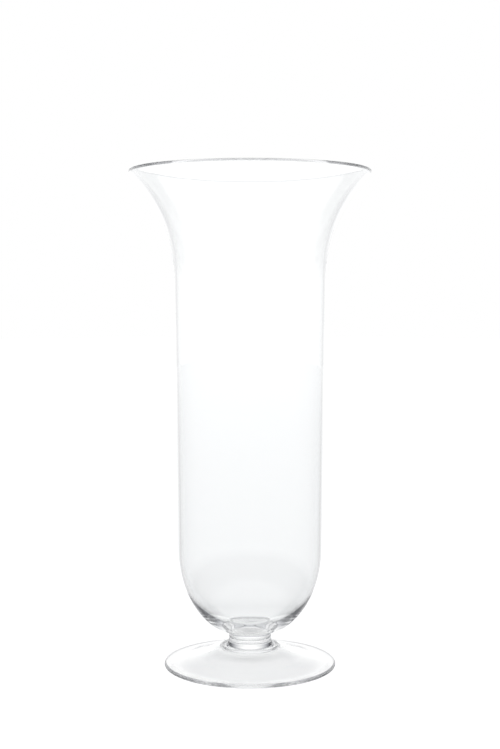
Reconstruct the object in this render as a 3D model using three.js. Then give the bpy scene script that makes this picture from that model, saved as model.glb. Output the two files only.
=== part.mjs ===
// A tall footed vase of clear glass, in millimetres, +Z up, standing on z = 0 on the origin.
// Four gathers of hot glass are stuck on top of each other: foot, collar, stem and bowl.
// Every piece is turned about Z, and neighbours meet on flat weld discs of the same radius.
import * as THREE from 'three';

// Whole vase
const TOTAL_HEIGHT = 400;

// Foot: a shallow cone of even thickness, pressed hollow underneath so that it stands on a ring
const FOOT_RADIUS = 69.4;
const FOOT_HEIGHT = 14.4;
const FOOT_THICKNESS = 2.7;
const FOOT_EDGE_THICKNESS = 2;
const FOOT_SLOPE_RADIUS = 42;
const FOOT_SLOPE_HEIGHT = 7.3;
const FOOT_RING_WIDTH = 5.5;

// Collar: a thin ring on the foot, which sweeps up into the stem
const COLLAR_RADIUS = 22.6;
const COLLAR_EDGE_HEIGHT = 2.1;
const COLLAR_HEIGHT = 4.9;

// Stem: a short waisted bit under the bowl
const STEM_WAIST_RADIUS = 17;
const STEM_HEIGHT = 8.4;

// Weld discs, each shared by the two pieces that meet there
const FOOT_WELD_RADIUS = 23.5;
const COLLAR_WELD_RADIUS = 18.2;
const BOWL_WELD_RADIUS = 18.4;

// Bowl: round bottom, slightly tapering body, flared mouth
const BODY_BASE_RADIUS = 58.2;
const BODY_TOP_RADIUS = 61.2;
const BOTTOM_HEIGHT = 68;
const BOTTOM_SPREAD = 22.7;
const BOTTOM_LIFT = 5.2;
const BOTTOM_RISE = 32.7;
const BOTTOM_THICKNESS = 3;
const INSIDE_ROUNDNESS = 0.64;
const FLARE_HEIGHT = 81;
const RIM_RADIUS = 96.8;
const WALL = 2.5;

// Facets: around the axis, and along the curves of an outline
const ROUND_SEGMENTS = 48;
const BOTTOM_STEPS = 14;
const FLARE_STEPS = 12;
const RIM_STEPS = 6;
const SIDE_STEPS = 8;

const QUARTER_TURN = Math.PI / 2;

// Heights of the weld planes
const collarBase = FOOT_HEIGHT;
const stemBase = collarBase + COLLAR_HEIGHT;
const bowlBase = stemBase + STEM_HEIGHT;

// A point of an outline: distance from the axis, and height.
function point(radius, height) {
  return new THREE.Vector2(radius, height);
}

// Points of an ellipse's arc between two angles, in the order that they are given.
function arc(centre, radiusAcross, radiusUp, from, to, steps) {
  const clockwise = to < from;
  const curve = new THREE.EllipseCurve(centre.x, centre.y, radiusAcross, radiusUp, from, to, clockwise);
  return curve.getPoints(steps);
}

// Points of a curved side from one place to another, drawn towards a third without reaching it.
function curvedSide(from, towards, to) {
  return new THREE.QuadraticBezierCurve(from, towards, to).getPoints(SIDE_STEPS);
}

// A glass piece turned from an outline that starts and ends on the axis, low end first.
function turnedPiece(name, outline, colour) {
  const geometry = new THREE.LatheGeometry(outline, ROUND_SEGMENTS);
  geometry.rotateX(QUARTER_TURN);
  const glass = new THREE.MeshStandardMaterial({ color: colour, roughness: 0.04, metalness: 0 });
  glass.transparent = true;
  glass.opacity = 0.35;
  const piece = new THREE.Mesh(geometry, glass);
  piece.name = name;
  return piece;
}

// The hollow underside, the flat ring that it stands on, the rounded edge and the sloping top.
function makeFoot() {
  const edgeRadius = FOOT_EDGE_THICKNESS / 2;
  const edgeCentre = point(FOOT_RADIUS - edgeRadius, edgeRadius);
  const hollowRadius = edgeCentre.x - FOOT_RING_WIDTH;
  const hollowDepth = FOOT_HEIGHT - FOOT_THICKNESS;
  const hollow = curvedSide(
    point(FOOT_WELD_RADIUS, hollowDepth),
    point(FOOT_SLOPE_RADIUS, FOOT_SLOPE_HEIGHT - FOOT_THICKNESS),
    point(hollowRadius, 0),
  );
  const top = curvedSide(
    point(edgeCentre.x, FOOT_EDGE_THICKNESS),
    point(FOOT_SLOPE_RADIUS, FOOT_SLOPE_HEIGHT),
    point(FOOT_WELD_RADIUS, FOOT_HEIGHT),
  );
  const outline = [
    point(0, hollowDepth),
    ...hollow,
    ...arc(edgeCentre, edgeRadius, edgeRadius, -QUARTER_TURN, QUARTER_TURN, RIM_STEPS),
    ...top.slice(1),
    point(0, FOOT_HEIGHT),
  ];
  return turnedPiece('foot', outline, '#e6ebea');
}

// The upright edge of the ring, and the sweep from its top edge in and up to the stem.
function makeCollar() {
  const edgeTop = collarBase + COLLAR_EDGE_HEIGHT;
  const edge = curvedSide(
    point(FOOT_WELD_RADIUS, collarBase),
    point(COLLAR_RADIUS, collarBase),
    point(COLLAR_RADIUS, edgeTop),
  );
  const sweep = curvedSide(
    point(COLLAR_RADIUS, edgeTop),
    point(COLLAR_WELD_RADIUS, edgeTop),
    point(COLLAR_WELD_RADIUS, stemBase),
  );
  const outline = [point(0, collarBase), ...edge, ...sweep.slice(1), point(0, stemBase)];
  return turnedPiece('collar', outline, '#dfe3e6');
}

// A side that is drawn in to the waist radius at half its height.
function makeStem() {
  const low = point(COLLAR_WELD_RADIUS, stemBase);
  const high = point(BOWL_WELD_RADIUS, bowlBase);
  const waistPull = 2 * STEM_WAIST_RADIUS - (low.x + high.x) / 2;
  const side = curvedSide(low, point(waistPull, (low.y + high.y) / 2), high);
  const outline = [point(0, stemBase), ...side, point(0, bowlBase)];
  return turnedPiece('stem', outline, '#e2e6e9');
}

// Up the outside from the weld disc, round the rim, and down the inside to the axis.
function makeBowl() {
  // The bottom spreads from the weld ring and turns up into the body
  const bodyBase = bowlBase + BOTTOM_HEIGHT;
  const bottom = new THREE.CubicBezierCurve(
    point(BOWL_WELD_RADIUS, bowlBase),
    point(BOWL_WELD_RADIUS + BOTTOM_SPREAD, bowlBase + BOTTOM_LIFT),
    point(BODY_BASE_RADIUS, bodyBase - BOTTOM_RISE),
    point(BODY_BASE_RADIUS, bodyBase),
  );

  // Its inside is rounder and ends flat on the axis
  const innerRadius = BODY_BASE_RADIUS - WALL;
  const innerFloor = bowlBase + BOTTOM_THICKNESS;
  const innerBottom = new THREE.CubicBezierCurve(
    point(innerRadius, bodyBase),
    point(innerRadius, bodyBase - INSIDE_ROUNDNESS * (bodyBase - innerFloor)),
    point(INSIDE_ROUNDNESS * innerRadius, innerFloor),
    point(0, innerFloor),
  );

  // The body's taper, and the direction that its outside faces
  const flareStart = TOTAL_HEIGHT - FLARE_HEIGHT;
  const taper = Math.atan2(BODY_TOP_RADIUS - BODY_BASE_RADIUS, flareStart - bodyBase);
  const outward = point(Math.cos(taper), -Math.sin(taper));

  // The flare is an arc down the middle of the wall, tangent to the body and ending in the rim
  const middle = point(BODY_TOP_RADIUS, flareStart).addScaledVector(outward, -WALL / 2);
  const rimCentre = point(RIM_RADIUS - WALL / 2, TOTAL_HEIGHT - WALL / 2);
  const chord = rimCentre.clone().sub(middle);
  const turn = Math.atan2(chord.x, chord.y) - taper;
  const flareRadius = chord.length() / (2 * Math.sin(turn));
  const flareCentre = middle.clone().addScaledVector(outward, flareRadius);
  const outside = flareRadius - WALL / 2;
  const inside = flareRadius + WALL / 2;
  const low = Math.PI - taper;
  const high = low - 2 * turn;

  const outline = [
    point(0, bowlBase),
    ...bottom.getPoints(BOTTOM_STEPS),
    ...arc(flareCentre, outside, outside, low, high, FLARE_STEPS),
    ...arc(rimCentre, WALL / 2, WALL / 2, high - Math.PI, high, RIM_STEPS).slice(1, -1),
    ...arc(flareCentre, inside, inside, high, low, FLARE_STEPS),
    ...innerBottom.getPoints(BOTTOM_STEPS),
  ];
  return turnedPiece('bowl', outline, '#f0f4f3');
}

const vase = new THREE.Group();
vase.add(makeFoot(), makeCollar(), makeStem(), makeBowl());

export default vase;
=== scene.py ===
# A tall footed vase of clear, hand-worked glass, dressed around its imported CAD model.
# Four gathers of glass are turned one after the other, from the foot up, and welded together.
# Across a weld the glass is one body, so only the surfaces that meet the air bend the light.
import math
from collections import namedtuple

import bpy
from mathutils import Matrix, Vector
from mathutils.geometry import interpolate_bezier


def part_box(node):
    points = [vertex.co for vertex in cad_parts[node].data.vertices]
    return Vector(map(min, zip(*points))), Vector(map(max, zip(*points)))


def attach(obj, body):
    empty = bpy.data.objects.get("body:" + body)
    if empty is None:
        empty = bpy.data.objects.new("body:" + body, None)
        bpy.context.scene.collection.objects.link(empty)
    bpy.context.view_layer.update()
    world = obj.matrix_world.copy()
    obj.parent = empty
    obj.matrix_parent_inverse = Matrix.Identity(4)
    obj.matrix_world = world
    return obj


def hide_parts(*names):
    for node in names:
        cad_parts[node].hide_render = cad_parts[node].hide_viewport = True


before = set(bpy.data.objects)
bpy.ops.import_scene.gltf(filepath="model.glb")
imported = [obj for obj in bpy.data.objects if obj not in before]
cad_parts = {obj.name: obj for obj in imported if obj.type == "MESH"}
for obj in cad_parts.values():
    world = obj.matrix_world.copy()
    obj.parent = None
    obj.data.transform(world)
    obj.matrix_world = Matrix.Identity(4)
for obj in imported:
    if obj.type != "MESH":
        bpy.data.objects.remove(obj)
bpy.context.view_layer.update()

# Foot
# A shallow cone of clear glass, pressed on a board and hollow underneath, so that it stands on
# a narrow ring. Its thin edge is rounded in the fire, and its middle is welded to the collar.
foot_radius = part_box("foot")[1].x
foot_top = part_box("foot")[1].z
foot_edge = 0.0031
foot_ring_width = 0.0043

# A ring of an outline: its radius and height in metres, and the heading of the outline there,
# in degrees, with 0 straight outwards and 90 straight up.
Ring = namedtuple("Ring", "radius height heading")
foot_weld = Ring(0.02223, foot_top, 184.4)
foot_side = Ring(0.04400, 0.00827, 163.3)
foot_slope = 179.5
hollow_middle = Ring(0.0, 0.01263, 0)
hollow_crest = Ring(0.02380, 0.01156, -14.5)
hollow_side = Ring(0.0440, 0.0046, -14.3)


def spot(ring):
    """The place of a ring in its outline."""
    return Vector((ring.radius, ring.height))


def away(heading, distance):
    """A step of this length along a heading."""
    angle = math.radians(heading)
    return Vector((math.cos(angle), math.sin(angle))) * distance


def bend(start, end, steps, reach=0.38):
    """A smooth stretch of outline between two rings, leaving and arriving on their headings."""
    handle = reach * (spot(end) - spot(start)).length
    leave = spot(start) + away(start.heading, handle)
    arrive = spot(end) - away(end.heading, handle)
    return interpolate_bezier(spot(start), leave, arrive, spot(end), steps + 1)


def arc(centre, radius, start, end, steps):
    """A round stretch of outline between two headings from its centre, in degrees."""
    share = (end - start) / steps
    return [centre + away(start + share * step, radius) for step in range(steps + 1)]


# Two places closer than this, in metres, count as one
same_place = 1e-6


def one_line(*stretches):
    """The stretches end to end, with each meeting point kept once."""
    line = [stretches[0][0]]
    for place in [place for stretch in stretches for place in stretch]:
        if (place - line[-1]).length > same_place:
            line.append(place)
    return line


def add_node(tree, kind, values=None, **settings):
    """A new node with these settings, and with these plain values on its inputs."""
    node = tree.nodes.new(kind)
    for name, value in settings.items():
        setattr(node, name, value)
    for socket, value in (values or {}).items():
        node.inputs[socket].default_value = value
    return node


def calculate(tree, operation, first, second=None):
    """The output of a Math node, whose inputs are sockets or plain numbers."""
    node = add_node(tree, "ShaderNodeMath", operation=operation)
    for place, value in enumerate((first, second)):
        if isinstance(value, bpy.types.NodeSocket):
            tree.links.new(value, node.inputs[place])
        elif value is not None:
            node.inputs[place].default_value = value
    return node.outputs[0]


def make_lathe():
    """A tree that turns an outline, drawn in the XZ plane, about Z, with a hand-made waver."""
    tree = bpy.data.node_groups.new("glass_lathe", "GeometryNodeTree")
    for name, kind in (
        ("Outline", "Geometry"), ("Facets", "Int"), ("Low Weld", "Float"), ("High Weld", "Float"),
        ("Waver", "Float"), ("Waver Size", "Float"), ("Seed", "Int"),
        ("Glass", "Material"), ("Weld", "Material"),
    ):
        tree.interface.new_socket(name, in_out="INPUT", socket_type="NodeSocket" + kind)
    tree.interface.new_socket("Piece", in_out="OUTPUT", socket_type="NodeSocketGeometry")
    link = tree.links.new
    given = add_node(tree, "NodeGroupInput").outputs

    # A grid with one column for each facet round the axis and one row for each outline point
    count = add_node(tree, "GeometryNodeAttributeDomainSize", component="MESH")
    link(given["Outline"], count.inputs["Geometry"])
    rows = count.outputs["Point Count"]
    grid = add_node(tree, "GeometryNodeMeshGrid")
    link(calculate(tree, "ADD", given["Facets"], 1), grid.inputs["Vertices X"])
    link(rows, grid.inputs["Vertices Y"])
    index = add_node(tree, "GeometryNodeInputIndex").outputs[0]
    row = calculate(tree, "MODULO", index, rows)
    column = calculate(tree, "FLOOR", calculate(tree, "DIVIDE", index, rows))
    column = calculate(tree, "MODULO", column, given["Facets"])

    # Each grid point goes to its outline point, turned by its column's share of a full turn
    place = add_node(tree, "GeometryNodeInputPosition").outputs[0]
    sample = add_node(tree, "GeometryNodeSampleIndex", data_type="FLOAT_VECTOR", domain="POINT")
    link(given["Outline"], sample.inputs["Geometry"])
    link(place, sample.inputs["Value"])
    link(row, sample.inputs["Index"])
    outline = add_node(tree, "ShaderNodeSeparateXYZ")
    link(sample.outputs[0], outline.inputs[0])
    radius = outline.outputs["X"]
    turn = calculate(tree, "DIVIDE", calculate(tree, "MULTIPLY", column, math.tau), given["Facets"])
    turned = add_node(tree, "ShaderNodeCombineXYZ")
    link(calculate(tree, "MULTIPLY", calculate(tree, "COSINE", turn), radius), turned.inputs["X"])
    link(calculate(tree, "MULTIPLY", calculate(tree, "SINE", turn), radius), turned.inputs["Y"])
    link(outline.outputs["Z"], turned.inputs["Z"])

    # The waver swells and shrinks the radius by a small share, much alike on both sides of a wall
    noise = add_node(tree, "ShaderNodeTexNoise", {"Detail": 1.0}, noise_dimensions="4D")
    link(turned.outputs[0], noise.inputs["Vector"])
    link(calculate(tree, "DIVIDE", 1.0, given["Waver Size"]), noise.inputs["Scale"])
    link(given["Seed"], noise.inputs["W"])
    middle_of_noise = 0.5
    swell = calculate(tree, "SUBTRACT", noise.outputs[0], middle_of_noise)
    swell = calculate(tree, "ADD", calculate(tree, "MULTIPLY", swell, given["Waver"]), 1.0)
    wavered = add_node(tree, "ShaderNodeVectorMath", operation="MULTIPLY")
    stretch = add_node(tree, "ShaderNodeCombineXYZ", {"Z": 1.0})
    link(swell, stretch.inputs["X"])
    link(swell, stretch.inputs["Y"])
    link(turned.outputs[0], wavered.inputs[0])
    link(stretch.outputs[0], wavered.inputs[1])
    shape = add_node(tree, "GeometryNodeSetPosition")
    link(grid.outputs["Mesh"], shape.inputs["Geometry"])
    link(wavered.outputs[0], shape.inputs["Position"])

    # The seam and the poles close, and the edges of the weld discs stay sharp
    close = add_node(tree, "GeometryNodeMergeByDistance", {"Distance": 1e-7})
    link(shape.outputs[0], close.inputs["Geometry"])
    smooth = add_node(tree, "GeometryNodeSetShadeSmooth", {"Shade Smooth": True}, domain="FACE")
    link(close.outputs[0], smooth.inputs["Geometry"])
    sharp_angle = math.radians(30)
    angle = add_node(tree, "GeometryNodeInputMeshEdgeAngle").outputs["Unsigned Angle"]
    crisp = add_node(tree, "GeometryNodeSetShadeSmooth", {"Shade Smooth": False}, domain="EDGE")
    link(smooth.outputs[0], crisp.inputs["Geometry"])
    link(calculate(tree, "GREATER_THAN", angle, sharp_angle), crisp.inputs["Selection"])

    # The weld discs, which lie level at the weld heights, get their own material
    level = add_node(tree, "ShaderNodeSeparateXYZ")
    link(place, level.inputs[0])
    height = level.outputs["Z"]
    off_low = calculate(tree, "ABSOLUTE", calculate(tree, "SUBTRACT", height, given["Low Weld"]))
    off_high = calculate(tree, "ABSOLUTE", calculate(tree, "SUBTRACT", height, given["High Weld"]))
    off_weld = calculate(tree, "MINIMUM", off_low, off_high)
    on_weld = calculate(tree, "LESS_THAN", off_weld, same_place)
    real = add_node(tree, "GeometryNodeRealizeInstances")
    link(crisp.outputs[0], real.inputs[0])
    glass = add_node(tree, "GeometryNodeSetMaterial")
    link(real.outputs[0], glass.inputs["Geometry"])
    link(given["Glass"], glass.inputs["Material"])
    weld = add_node(tree, "GeometryNodeSetMaterial")
    link(glass.outputs[0], weld.inputs["Geometry"])
    link(on_weld, weld.inputs["Selection"])
    link(given["Weld"], weld.inputs["Material"])
    link(weld.outputs[0], add_node(tree, "NodeGroupOutput").inputs["Piece"])
    return tree


lathe = make_lathe()
no_weld = -1.0


def turn_glass(name, line, low_weld, high_weld, glass):
    """A closed glass piece, turned from an outline that starts and ends on the axis."""
    mesh = bpy.data.meshes.new(name)
    corners = [(place.x, 0.0, place.y) for place in line]
    mesh.from_pydata(corners, [(step, step + 1) for step in range(len(line) - 1)], [])
    piece = bpy.data.objects.new(name, mesh)
    bpy.context.scene.collection.objects.link(piece)
    turning = piece.modifiers.new("turning", "NODES")
    turning.node_group = lathe
    values = {
        "Facets": 224, "Low Weld": low_weld, "High Weld": high_weld,
        "Waver": 0.0016, "Waver Size": 0.05, "Seed": 5,
        "Glass": glass, "Weld": fused_weld,
    }
    for socket in lathe.interface.items_tree:
        if socket.name in values:
            turning[socket.identifier] = values[socket.name]
    turned = piece.evaluated_get(bpy.context.evaluated_depsgraph_get())
    piece.data = bpy.data.meshes.new_from_object(turned)
    piece.modifiers.clear()
    piece.data.materials.pop(index=0)
    return piece


def make_turning_marks():
    """Faint marks of the turning: ripples along the outline, smears, and a trace of tint."""
    tree = bpy.data.node_groups.new("turning_marks", "ShaderNodeTree")
    for name in ("Ripples Along", "Ripples Around", "Smear"):
        tree.interface.new_socket(name, in_out="INPUT", socket_type="NodeSocketFloat")
    tree.interface.new_socket("Height", in_out="OUTPUT", socket_type="NodeSocketFloat")
    tree.interface.new_socket("Roughness", in_out="OUTPUT", socket_type="NodeSocketFloat")
    tree.interface.new_socket("Tint", in_out="OUTPUT", socket_type="NodeSocketColor")
    link = tree.links.new
    given = add_node(tree, "NodeGroupInput").outputs
    made = add_node(tree, "NodeGroupOutput").inputs

    # Radius plus height runs along the outline of every piece
    place = add_node(tree, "ShaderNodeTexCoord").outputs["Object"]
    axes = add_node(tree, "ShaderNodeSeparateXYZ")
    link(place, axes.inputs[0])
    across = calculate(tree, "MULTIPLY", axes.outputs["X"], axes.outputs["X"])
    deep = calculate(tree, "MULTIPLY", axes.outputs["Y"], axes.outputs["Y"])
    radius = calculate(tree, "SQRT", calculate(tree, "ADD", across, deep))
    along = calculate(tree, "ADD", radius, axes.outputs["Z"])
    stretched = add_node(tree, "ShaderNodeCombineXYZ")
    link(calculate(tree, "MULTIPLY", axes.outputs["X"], given["Ripples Around"]), stretched.inputs["X"])
    link(calculate(tree, "MULTIPLY", axes.outputs["Y"], given["Ripples Around"]), stretched.inputs["Y"])
    link(calculate(tree, "MULTIPLY", along, given["Ripples Along"]), stretched.inputs["Z"])
    ripples = add_node(tree, "ShaderNodeTexNoise", {"Scale": 1.0, "Detail": 2.0})
    link(stretched.outputs[0], ripples.inputs["Vector"])
    link(ripples.outputs[0], made["Height"])

    # Smears are rougher patches a few centimetres across
    smears = add_node(tree, "ShaderNodeTexNoise", {"Scale": 38.0, "Detail": 4.0, "Roughness": 0.6})
    link(place, smears.inputs["Vector"])
    patch = add_node(tree, "ShaderNodeMapRange", {"From Min": 0.5, "From Max": 0.75})
    link(smears.outputs[0], patch.inputs["Value"])
    link(calculate(tree, "MULTIPLY", patch.outputs[0], given["Smear"]), made["Roughness"])
    tint = add_node(tree, "ShaderNodeMix", data_type="RGBA")
    tint.inputs["A"].default_value = (0.985, 0.995, 0.992, 1)
    tint.inputs["B"].default_value = (0.995, 0.998, 0.999, 1)
    link(smears.outputs[0], tint.inputs["Factor"])
    link(tint.outputs["Result"], made["Tint"])
    return tree


turning_marks = make_turning_marks()


def make_glass(name, ripples_along, ripples_around, ripple_depth):
    """Clear glass with its turning marks. Light for the floor passes straight through it."""
    material = bpy.data.materials.new(name)
    material.use_nodes = True
    tree = material.node_tree
    tree.nodes.clear()
    link = tree.links.new
    marks = add_node(tree, "ShaderNodeGroup", node_tree=turning_marks)
    marks.inputs["Ripples Along"].default_value = ripples_along
    marks.inputs["Ripples Around"].default_value = ripples_around
    marks.inputs["Smear"].default_value = 0.012
    bump = add_node(tree, "ShaderNodeBump", {"Strength": 1.0, "Distance": ripple_depth})
    link(marks.outputs["Height"], bump.inputs["Height"])
    glass = add_node(
        tree, "ShaderNodeBsdfPrincipled", {"Metallic": 0.0, "IOR": 1.5, "Transmission Weight": 1.0},
    )
    link(marks.outputs["Tint"], glass.inputs["Base Color"])
    link(marks.outputs["Roughness"], glass.inputs["Roughness"])
    link(bump.outputs[0], glass.inputs["Normal"])
    shade = add_node(tree, "ShaderNodeBsdfTransparent", {"Color": (0.95, 0.96, 0.96, 1)})
    rays = add_node(tree, "ShaderNodeLightPath")
    either = add_node(tree, "ShaderNodeMixShader")
    link(rays.outputs["Is Shadow Ray"], either.inputs[0])
    link(glass.outputs[0], either.inputs[1])
    link(shade.outputs[0], either.inputs[2])
    link(either.outputs[0], add_node(tree, "ShaderNodeOutputMaterial").inputs["Surface"])
    return material


def make_fused_weld():
    """The inside of a weld, where the glass goes on and nothing shows."""
    material = bpy.data.materials.new("fused_weld")
    material.use_nodes = True
    tree = material.node_tree
    tree.nodes.clear()
    clear = add_node(tree, "ShaderNodeBsdfTransparent", {"Color": (1, 1, 1, 1)})
    tree.links.new(clear.outputs[0], add_node(tree, "ShaderNodeOutputMaterial").inputs["Surface"])
    return material


fused_weld = make_fused_weld()
pressed_glass = make_glass("pressed_glass", ripples_along=260, ripples_around=6, ripple_depth=1e-5)

edge_radius = foot_edge / 2
edge_centre = Vector((foot_radius - edge_radius, edge_radius))
standing_ring = Ring(edge_centre.x - foot_ring_width, 0.0, 0)
edge = arc(edge_centre, edge_radius, -90, foot_slope - 90, steps=20)
edge_top = Ring(edge[-1].x, edge[-1].y, foot_slope)
foot_line = one_line(
    bend(hollow_middle, hollow_crest, steps=20),
    bend(hollow_crest, hollow_side, steps=24),
    bend(hollow_side, standing_ring, steps=20),
    edge,
    bend(edge_top, foot_side, steps=30),
    bend(foot_side, foot_weld, steps=30),
    [Vector((0.0, foot_top))],
)
foot = turn_glass("foot_glass", foot_line, no_weld, foot_top, pressed_glass)
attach(foot, "root")
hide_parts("foot")

# Collar
# A thin ring of glass on the crown of the foot, a small gather squeezed flat while it was hot.
# Its round edge stands up a little from the foot, and its top sweeps in and up to the stem.
collar_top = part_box("collar")[1].z
collar_edge = Ring(0.02290, 0.01669, 152.0)
collar_shelf = Ring(0.02042, 0.01633, 182.1)
collar_weld = Ring(0.01785, collar_top, 114.2)

tooled_glass = make_glass("tooled_glass", ripples_along=420, ripples_around=10, ripple_depth=1e-5)
collar_line = one_line(
    [Vector((0.0, foot_top))],
    bend(foot_weld, collar_edge, steps=14),
    bend(collar_edge, collar_shelf, steps=10),
    bend(collar_shelf, collar_weld, steps=18),
    [Vector((0.0, collar_top))],
)
collar = turn_glass("collar_glass", collar_line, foot_top, collar_top, tooled_glass)
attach(collar, "root")
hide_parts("collar")

# Stem
# A short bit of glass stuck under the bowl and drawn in to a waist with the jacks, which leave
# fine turning lines on it. It is welded to the collar below and to the bowl above.
stem_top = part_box("stem")[1].z
stem_waist = Ring(0.01711, 0.02480, 83.4)
bowl_weld = Ring(0.01844, stem_top, 39.9)

stem_line = one_line(
    [Vector((0.0, collar_top))],
    bend(collar_weld, stem_waist, steps=14),
    bend(stem_waist, bowl_weld, steps=14),
    [Vector((0.0, stem_top))],
)
stem = turn_glass("stem_glass", stem_line, collar_top, stem_top, tooled_glass)
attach(stem, "root")
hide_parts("stem")

# Bowl
# The blown vessel: a round bottom, a nearly straight body and a mouth opened out with a paddle,
# with its rim rounded in the fire. Its bottom is welded to the stem.
rim_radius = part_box("bowl")[1].x
rim_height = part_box("bowl")[1].z
wall = 0.0025
bottom_thickness = 0.00261
bottom_spread = 0.0223
bottom_rise = 0.0339
inside_roundness = 0.640
bowl_bottom = Ring(0.01818, 0.02796, 10.3)
body_base = Vector((0.0582, 0.0957))
body_top = Vector((0.0612, 0.3190))
bottom_points = 101

blown_glass = make_glass("blown_glass", ripples_along=90, ripples_around=8, ripple_depth=1e-5)
taper = math.degrees(math.atan2(*(body_top - body_base)))
body_heading = 90 - taper
bottom = interpolate_bezier(
    spot(bowl_bottom),
    spot(bowl_bottom) + away(bowl_bottom.heading, bottom_spread),
    body_base - away(body_heading, bottom_rise),
    body_base,
    bottom_points,
)

# The mouth opens along an arc down the middle of its wall. The wall swells on the way from the
# body to the rim, and flare_wall is the handle that pulls its thickness outwards.
flare_wall = 0.0042
rim_wall = 0.0030
flare_steps = 64
flare_start = body_top - away(-taper, wall / 2)
rim_centre = Vector((rim_radius - rim_wall / 2, rim_height - rim_wall / 2))
chord = rim_centre - flare_start
flare_turn = math.degrees(math.atan2(*chord)) - taper
flare_radius = chord.length / (2 * math.sin(math.radians(flare_turn)))
flare_centre = flare_start + away(-taper, flare_radius)
flare_side = 180 - taper
flare = arc(flare_centre, flare_radius, flare_side, flare_side - 2 * flare_turn, flare_steps)
outer_flare, inner_flare = [], []
for step, place in enumerate(flare):
    across = (flare_centre - place).normalized()
    share = step / flare_steps
    thickness = (1 - share) ** 2 * wall + 2 * share * (1 - share) * flare_wall + share ** 2 * rim_wall
    outer_flare.append(place + across * thickness / 2)
    inner_flare.append(place - across * thickness / 2)
rim_side = math.degrees(math.atan2(across.y, across.x))

# The inside is a round hollow with a slight dip over the weld
dip_depth = 0.00117
dip_radius = 0.0145
hollow_points = 141
inner_radius = body_base.x - wall
inner_floor = stem_top + bottom_thickness
hollow = interpolate_bezier(
    Vector((inner_radius, body_base.y)),
    Vector((inner_radius, body_base.y - inside_roundness * (body_base.y - inner_floor))),
    Vector((inside_roundness * inner_radius, inner_floor)),
    Vector((0.0, inner_floor)),
    hollow_points,
)
inside = []
for place in hollow:
    share = min(1.0, place.x / dip_radius)
    inside.append(place - Vector((0.0, dip_depth * (1 - share * share * (3 - 2 * share)))))
bowl_line = one_line(
    [Vector((0.0, stem_top))],
    bend(bowl_weld, bowl_bottom, steps=14),
    bottom,
    outer_flare,
    arc(rim_centre, rim_wall / 2, rim_side, rim_side + 180, steps=24),
    list(reversed(inner_flare)),
    inside,
)
bowl = turn_glass("bowl_glass", bowl_line, stem_top, no_weld, blown_glass)
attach(bowl, "root")
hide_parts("bowl")

# Studio
# A plain pale floor before a tall bright backdrop that fades upwards and to both sides, with low
# screens all round and a soft light overhead. That is how clear glass is lit: white shows through
# it, and the dim room between the screens and the overhead light draws its edges.
scene = bpy.context.scene
scene.view_settings.view_transform = "Standard"
scene.cycles.max_bounces = 256
scene.cycles.transmission_bounces = 256
scene.cycles.glossy_bounces = 256
scene.cycles.transparent_max_bounces = 48

# Strengths of the lights, with their heights and widths in degrees, as the vase sees them
white = 1.0
backdrop_low = 1.25
backdrop_low_top = 8
backdrop_high = 0.55
backdrop_high_start = 40
backdrop_half_width = 4
backdrop_end = 58
screen_light = 0.86
screen_height = 6
screen_fade = 2
overhead_light = 0.60
overhead_start = 32
overhead_full = 37
room_light = 0.08
dim_tint = (0.94, 0.96, 1.06, 1)


def ramp(tree, value, low, high, at_low=0.0, at_high=1.0):
    """A soft step of a socket's value, from at_low to at_high."""
    node = add_node(tree, "ShaderNodeMapRange", interpolation_type="SMOOTHSTEP")
    node.inputs["From Min"].default_value = low
    node.inputs["From Max"].default_value = high
    node.inputs["To Min"].default_value = at_low
    node.inputs["To Max"].default_value = at_high
    tree.links.new(value, node.inputs["Value"])
    return node.outputs[0]


def light_room():
    """A world with its lights by direction, and plain white where it shows by itself."""
    world = bpy.data.worlds.new("studio")
    scene.world = world
    world.use_nodes = True
    tree = world.node_tree
    tree.nodes.clear()
    link = tree.links.new
    axes = add_node(tree, "ShaderNodeSeparateXYZ")
    link(add_node(tree, "ShaderNodeTexCoord").outputs["Generated"], axes.inputs[0])
    turn = calculate(tree, "ARCTAN2", axes.outputs["X"], axes.outputs["Y"])
    turn = calculate(tree, "DEGREES", calculate(tree, "ABSOLUTE", turn))
    rise = calculate(tree, "DEGREES", calculate(tree, "ARCSINE", axes.outputs["Z"]))
    wide = ramp(tree, turn, backdrop_half_width, backdrop_end, 1.0, 0.0)
    tall = ramp(tree, rise, backdrop_low_top, backdrop_high_start, backdrop_low, backdrop_high)
    backdrop = calculate(tree, "MULTIPLY", wide, tall)
    screens = ramp(tree, rise, screen_height, screen_height + screen_fade, screen_light, 0.0)
    overhead = ramp(tree, rise, overhead_start, overhead_full, room_light, overhead_light)
    bright = calculate(tree, "MAXIMUM", backdrop, screens)
    bright = calculate(tree, "MAXIMUM", bright, overhead)
    strength = add_node(tree, "ShaderNodeMix", data_type="FLOAT")
    strength.inputs["B"].default_value = white
    link(add_node(tree, "ShaderNodeLightPath").outputs["Is Camera Ray"], strength.inputs["Factor"])
    link(bright, strength.inputs["A"])
    tint = add_node(tree, "ShaderNodeMix", data_type="RGBA")
    tint.inputs["A"].default_value = dim_tint
    tint.inputs["B"].default_value = (1, 1, 1, 1)
    link(strength.outputs[0], tint.inputs["Factor"])
    light = add_node(tree, "ShaderNodeBackground")
    link(tint.outputs["Result"], light.inputs["Color"])
    link(strength.outputs[0], light.inputs["Strength"])
    link(light.outputs[0], add_node(tree, "ShaderNodeOutputWorld").inputs["Surface"])


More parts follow.
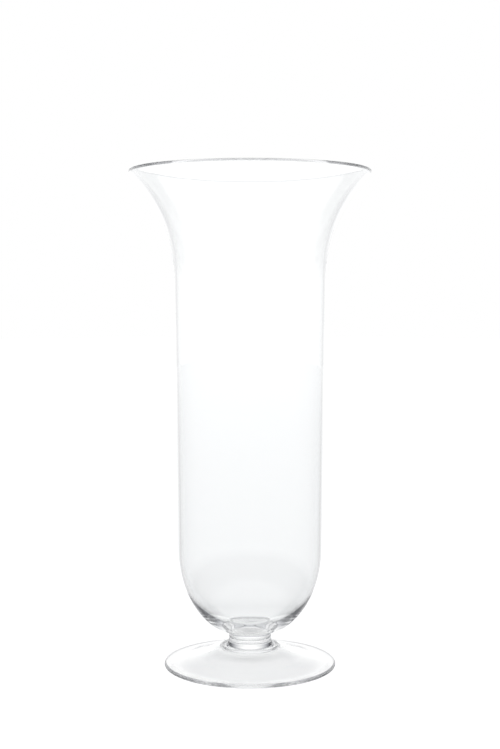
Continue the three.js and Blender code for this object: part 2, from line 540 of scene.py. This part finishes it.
# The floor's painted light: a glow that only mirrors and glass see. It is a painted pool of light
# brightest behind the vase and dimmer beside it, with a painted shade round the foot's edge and a soft
# painted shadow under the back of the stem.
# Distances from the middle of the foot are in metres, and the two edges are turns in degrees.
floor_radius = 8.0
floor_corners = 96
floor_gap = 0.0002
floor_paint = (0.5, 0.5, 0.5, 1)
floor_lift = 0.86
glow_behind_near = 0.738
glow_behind_far = 0.830
glow_beside_near = 0.49
glow_beside_far = 0.64
glow_under_foot = 0.75
shade_start = 0.0665
shade_middle = 0.0705
shade_end = 0.120
near_floor = 0.15
middle_floor = 2.0
behind_edge = 14
beside_edge = 38
stem_shade = 0.34
stem_shade_place = (0.0, 0.030, 0.0)
stem_shade_radius = 0.036


def lay_floor():
    """A wide pale floor, lifted to white where it shows by itself, with its painted glow and shade for
    the glass.
    """
    material = bpy.data.materials.new("pale_floor")
    material.use_nodes = True
    tree = material.node_tree
    tree.nodes.clear()
    link = tree.links.new
    place = add_node(tree, "ShaderNodeTexCoord").outputs["Object"]
    away_from_vase = add_node(tree, "ShaderNodeVectorMath", operation="LENGTH")
    link(place, away_from_vase.inputs[0])
    distance = away_from_vase.outputs["Value"]
    axes = add_node(tree, "ShaderNodeSeparateXYZ")
    link(place, axes.inputs[0])
    turn = calculate(tree, "ARCTAN2", axes.outputs["X"], axes.outputs["Y"])
    turn = calculate(tree, "DEGREES", calculate(tree, "ABSOLUTE", turn))
    # Painted light: the glow is stronger behind the vase than beside it
    spread = add_node(tree, "ShaderNodeMix", data_type="FLOAT")
    behind = ramp(tree, turn, behind_edge, beside_edge, 1.0, 0.0)
    behind = calculate(tree, "MULTIPLY", behind, ramp(tree, distance, shade_start, shade_middle))
    link(behind, spread.inputs["Factor"])
    # A painted shade round the foot's edge: the glow under the foot falls to nothing just outside it
    # and comes back further out
    under = ramp(tree, distance, shade_start, shade_middle, glow_under_foot, 0.0)
    reach = calculate(tree, "LOGARITHM", distance, 10.0)
    near, middle, far = [math.log10(radius) for radius in (near_floor, middle_floor, floor_radius)]
    beside = ramp(tree, reach, middle, far, glow_beside_near, glow_beside_far)
    past = ramp(tree, distance, shade_middle, shade_end)
    beside = calculate(tree, "ADD", under, calculate(tree, "MULTIPLY", past, beside))
    link(beside, spread.inputs["A"])
    link(ramp(tree, reach, near, far, glow_behind_near, glow_behind_far), spread.inputs["B"])
    # A painted shadow under the back of the stem: a soft round spot taken off the glow
    from_shade = add_node(tree, "ShaderNodeVectorMath", {1: stem_shade_place}, operation="DISTANCE")
    link(place, from_shade.inputs[0])
    painted_stem_shadow = ramp(tree, from_shade.outputs["Value"], 0.0, stem_shade_radius, stem_shade, 0.0)
    glow = calculate(tree, "SUBTRACT", spread.outputs[0], painted_stem_shadow)
    rays = add_node(tree, "ShaderNodeLightPath").outputs
    by_glass = calculate(tree, "MAXIMUM", rays["Is Glossy Ray"], rays["Is Transmission Ray"])
    lifted = calculate(tree, "MULTIPLY", rays["Is Camera Ray"], floor_lift)
    strength = calculate(tree, "ADD", lifted, calculate(tree, "MULTIPLY", by_glass, glow))
    paint = add_node(tree, "ShaderNodeBsdfDiffuse", {"Color": floor_paint})
    lift = add_node(tree, "ShaderNodeEmission", {"Color": (1, 1, 1, 1)})
    link(strength, lift.inputs["Strength"])
    both = add_node(tree, "ShaderNodeAddShader")
    link(paint.outputs[0], both.inputs[0])
    link(lift.outputs[0], both.inputs[1])
    link(both.outputs[0], add_node(tree, "ShaderNodeOutputMaterial").inputs["Surface"])
    mesh = bpy.data.meshes.new("floor")
    turns = [360 * corner / floor_corners for corner in range(floor_corners)]
    border = [away(turned, floor_radius) for turned in turns]
    corners = [(place.x, place.y, -floor_gap) for place in border]
    mesh.from_pydata(corners, [], [tuple(range(floor_corners))])
    mesh.materials.append(material)
    floor = bpy.data.objects.new("floor", mesh)
    scene.collection.objects.link(floor)


light_room()
lay_floor()

# Camera
# It stands level with the body of the vase, a good arm's length away, and looks slightly down.
camera_distance = 1.061
camera_height = 0.3007
camera_tilt = 3.46
lens_length = 63.42

camera_data = bpy.data.cameras.new("camera")
camera_data.lens = lens_length
camera_data.sensor_width = 36.0
camera_data.clip_start = 0.01
camera = bpy.data.objects.new("camera", camera_data)
camera.location = (0.0, -camera_distance, camera_height)
camera.rotation_euler = (math.radians(90 - camera_tilt), 0.0, 0.0)
scene.collection.objects.link(camera)
scene.camera = camera
